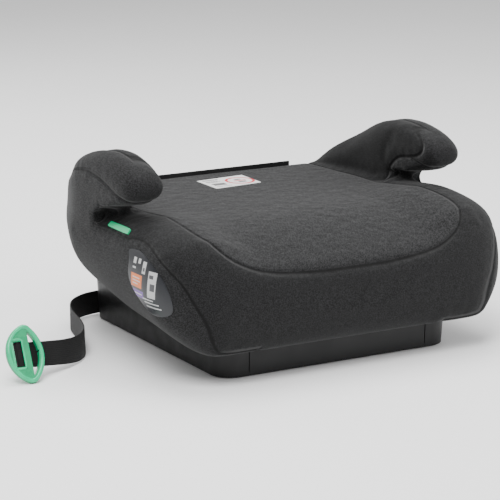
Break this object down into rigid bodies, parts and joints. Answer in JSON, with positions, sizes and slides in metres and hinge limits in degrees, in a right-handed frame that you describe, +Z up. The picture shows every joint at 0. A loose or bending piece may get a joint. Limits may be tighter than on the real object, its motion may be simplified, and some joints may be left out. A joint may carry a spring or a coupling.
{
  "type": "booster seat",
  "caption": "Backless child booster seat with padded fabric cushion, curved side arms, plastic base, belt guides and a shoulder-belt strap with clip.",
  "frame": {"origin": "floor level under the middle of the seat's outline, strap and clip left out", "axes": "+Z up, -Y towards the front of the seat, -X towards the side that the guide strap lies on"},
  "size_m": [0.579, 0.36, 0.2324],
  "materials": {
    "shell_plastic": "satin black moulded polypropylene",
    "foam": "grey open-cell polyurethane foam",
    "seat_fabric": "charcoal melange knit",
    "border_fabric": "dark charcoal melange knit",
    "side_fabric": "dark charcoal melange knit",
    "arm_fabric": "dark charcoal melange knit",
    "arm_inner_fabric": "black fine knit",
    "guide_plastic": "green moulded plastic",
    "label_cloth": "white woven label",
    "label_print": "printed film label",
    "trim_plastic": "black moulded trim",
    "steel": "zinc-plated steel",
    "rubber": "black rubber",
    "webbing": "black woven polyester webbing"
  },
  "bodies": {
    "seat": {"base_shell": "shell_plastic", "seat_shell": "shell_plastic", "seat_foam": "foam", "front_foam": "foam", "side_foam_left": "foam", "side_foam_right": "foam", "seat_cover": "seat_fabric", "front_cover": "border_fabric", "side_cover_left": "side_fabric", "side_cover_right": "side_fabric", "arm_core_left": "shell_plastic", "arm_core_right": "shell_plastic", "arm_foam_left": "foam", "arm_foam_right": "foam", "arm_inner_cover_left": "arm_inner_fabric", "arm_inner_cover_right": "arm_inner_fabric", "arm_outer_cover_left": "arm_fabric", "arm_outer_cover_right": "arm_fabric", "belt_guide_left": "guide_plastic", "belt_guide_right": "guide_plastic", "seat_label": "label_cloth", "side_label": "label_print", "rear_trim": "trim_plastic", "base_screws": "steel", "anchor_screws": "steel", "rubber_feet": "rubber", "anchor_plate": "trim_plastic", "guide_strap": "webbing"},
    "clip": {"belt_clip": "guide_plastic", "clip_pin": "steel"}
  },
  "joints": [
    {"name": "clip_swing", "type": "hinge", "parent": "seat", "child": "clip", "pos_m": [-0.33904, -0.03161, 0.0282], "axis": [-0.0435, -0.5, -0.8649], "range_deg": [0, 100]}
  ]
}
